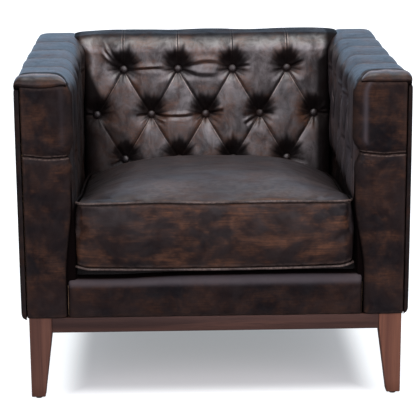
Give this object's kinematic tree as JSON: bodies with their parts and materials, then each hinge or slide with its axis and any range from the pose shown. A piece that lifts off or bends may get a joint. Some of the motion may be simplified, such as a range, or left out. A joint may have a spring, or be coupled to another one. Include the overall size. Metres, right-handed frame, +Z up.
{
  "type": "club chair",
  "caption": "Low square leather club chair, deep-buttoned inside arms and back, loose box cushion, walnut plinth with tapered legs.",
  "frame": {"origin": "on the floor, under the middle of the chair", "axes": "+Z up, +X towards the right-hand arm as seen from in front, the front faces -Y"},
  "size_m": [0.9298, 0.8, 0.796],
  "materials": {
    "leather": "dark brown hand-rubbed leather, satin, rubbed to rust and tan on seams and edges",
    "button_leather": "the same leather over domed buttons, rubbed pale on top",
    "walnut": "walnut-stained hardwood, satin lacquer",
    "glide_plastic": "black moulded plastic",
    "frame_hardwood": "planed unfinished hardwood",
    "spring_steel": "drawn spring wire",
    "deck_cloth": "black upholstery cloth",
    "dust_cloth": "thin black non-woven cloth"
  },
  "bodies": {
    "root": {"seat_cushion": "leather", "front_border": "leather", "inside_back": "leather", "outside_back": "leather", "inside_arm_left": "leather", "inside_arm_right": "leather", "outside_arm_left": "leather", "outside_arm_right": "leather", "arm_facing_left": "leather", "arm_facing_right": "leather", "back_button_1_1": "button_leather", "back_button_1_2": "button_leather", "back_button_1_3": "button_leather", "back_button_1_4": "button_leather", "back_button_2_1": "button_leather", "back_button_2_2": "button_leather", "back_button_2_3": "button_leather", "back_button_2_4": "button_leather", "back_button_2_5": "button_leather", "back_button_3_1": "button_leather", "back_button_3_2": "button_leather", "back_button_3_3": "button_leather", "back_button_3_4": "button_leather", "plinth_front": "walnut", "plinth_back": "walnut", "plinth_left": "walnut", "plinth_right": "walnut", "leg_front_left": "walnut", "leg_front_right": "walnut", "leg_back_left": "walnut", "leg_back_right": "walnut", "glide_front_left": "glide_plastic", "glide_front_right": "glide_plastic", "glide_back_left": "glide_plastic", "glide_back_right": "glide_plastic", "seat_rail_front": "frame_hardwood", "seat_rail_back": "frame_hardwood", "seat_rail_left": "frame_hardwood", "seat_rail_right": "frame_hardwood", "corner_block_front_left": "frame_hardwood", "corner_block_front_right": "frame_hardwood", "corner_block_back_left": "frame_hardwood", "corner_block_back_right": "frame_hardwood", "arm_post_left": "frame_hardwood", "arm_post_right": "frame_hardwood", "arm_rail_top_left": "frame_hardwood", "arm_rail_top_right": "frame_hardwood", "arm_rail_lower_left": "frame_hardwood", "arm_rail_lower_right": "frame_hardwood", "back_post_left": "frame_hardwood", "back_post_right": "frame_hardwood", "back_rail_top": "frame_hardwood", "back_rail_lower": "frame_hardwood", "seat_spring_1": "spring_steel", "seat_spring_2": "spring_steel", "seat_spring_3": "spring_steel", "seat_spring_4": "spring_steel", "seat_spring_5": "spring_steel", "seat_deck": "deck_cloth", "dust_cover": "dust_cloth"}
  },
  "joints": []
}
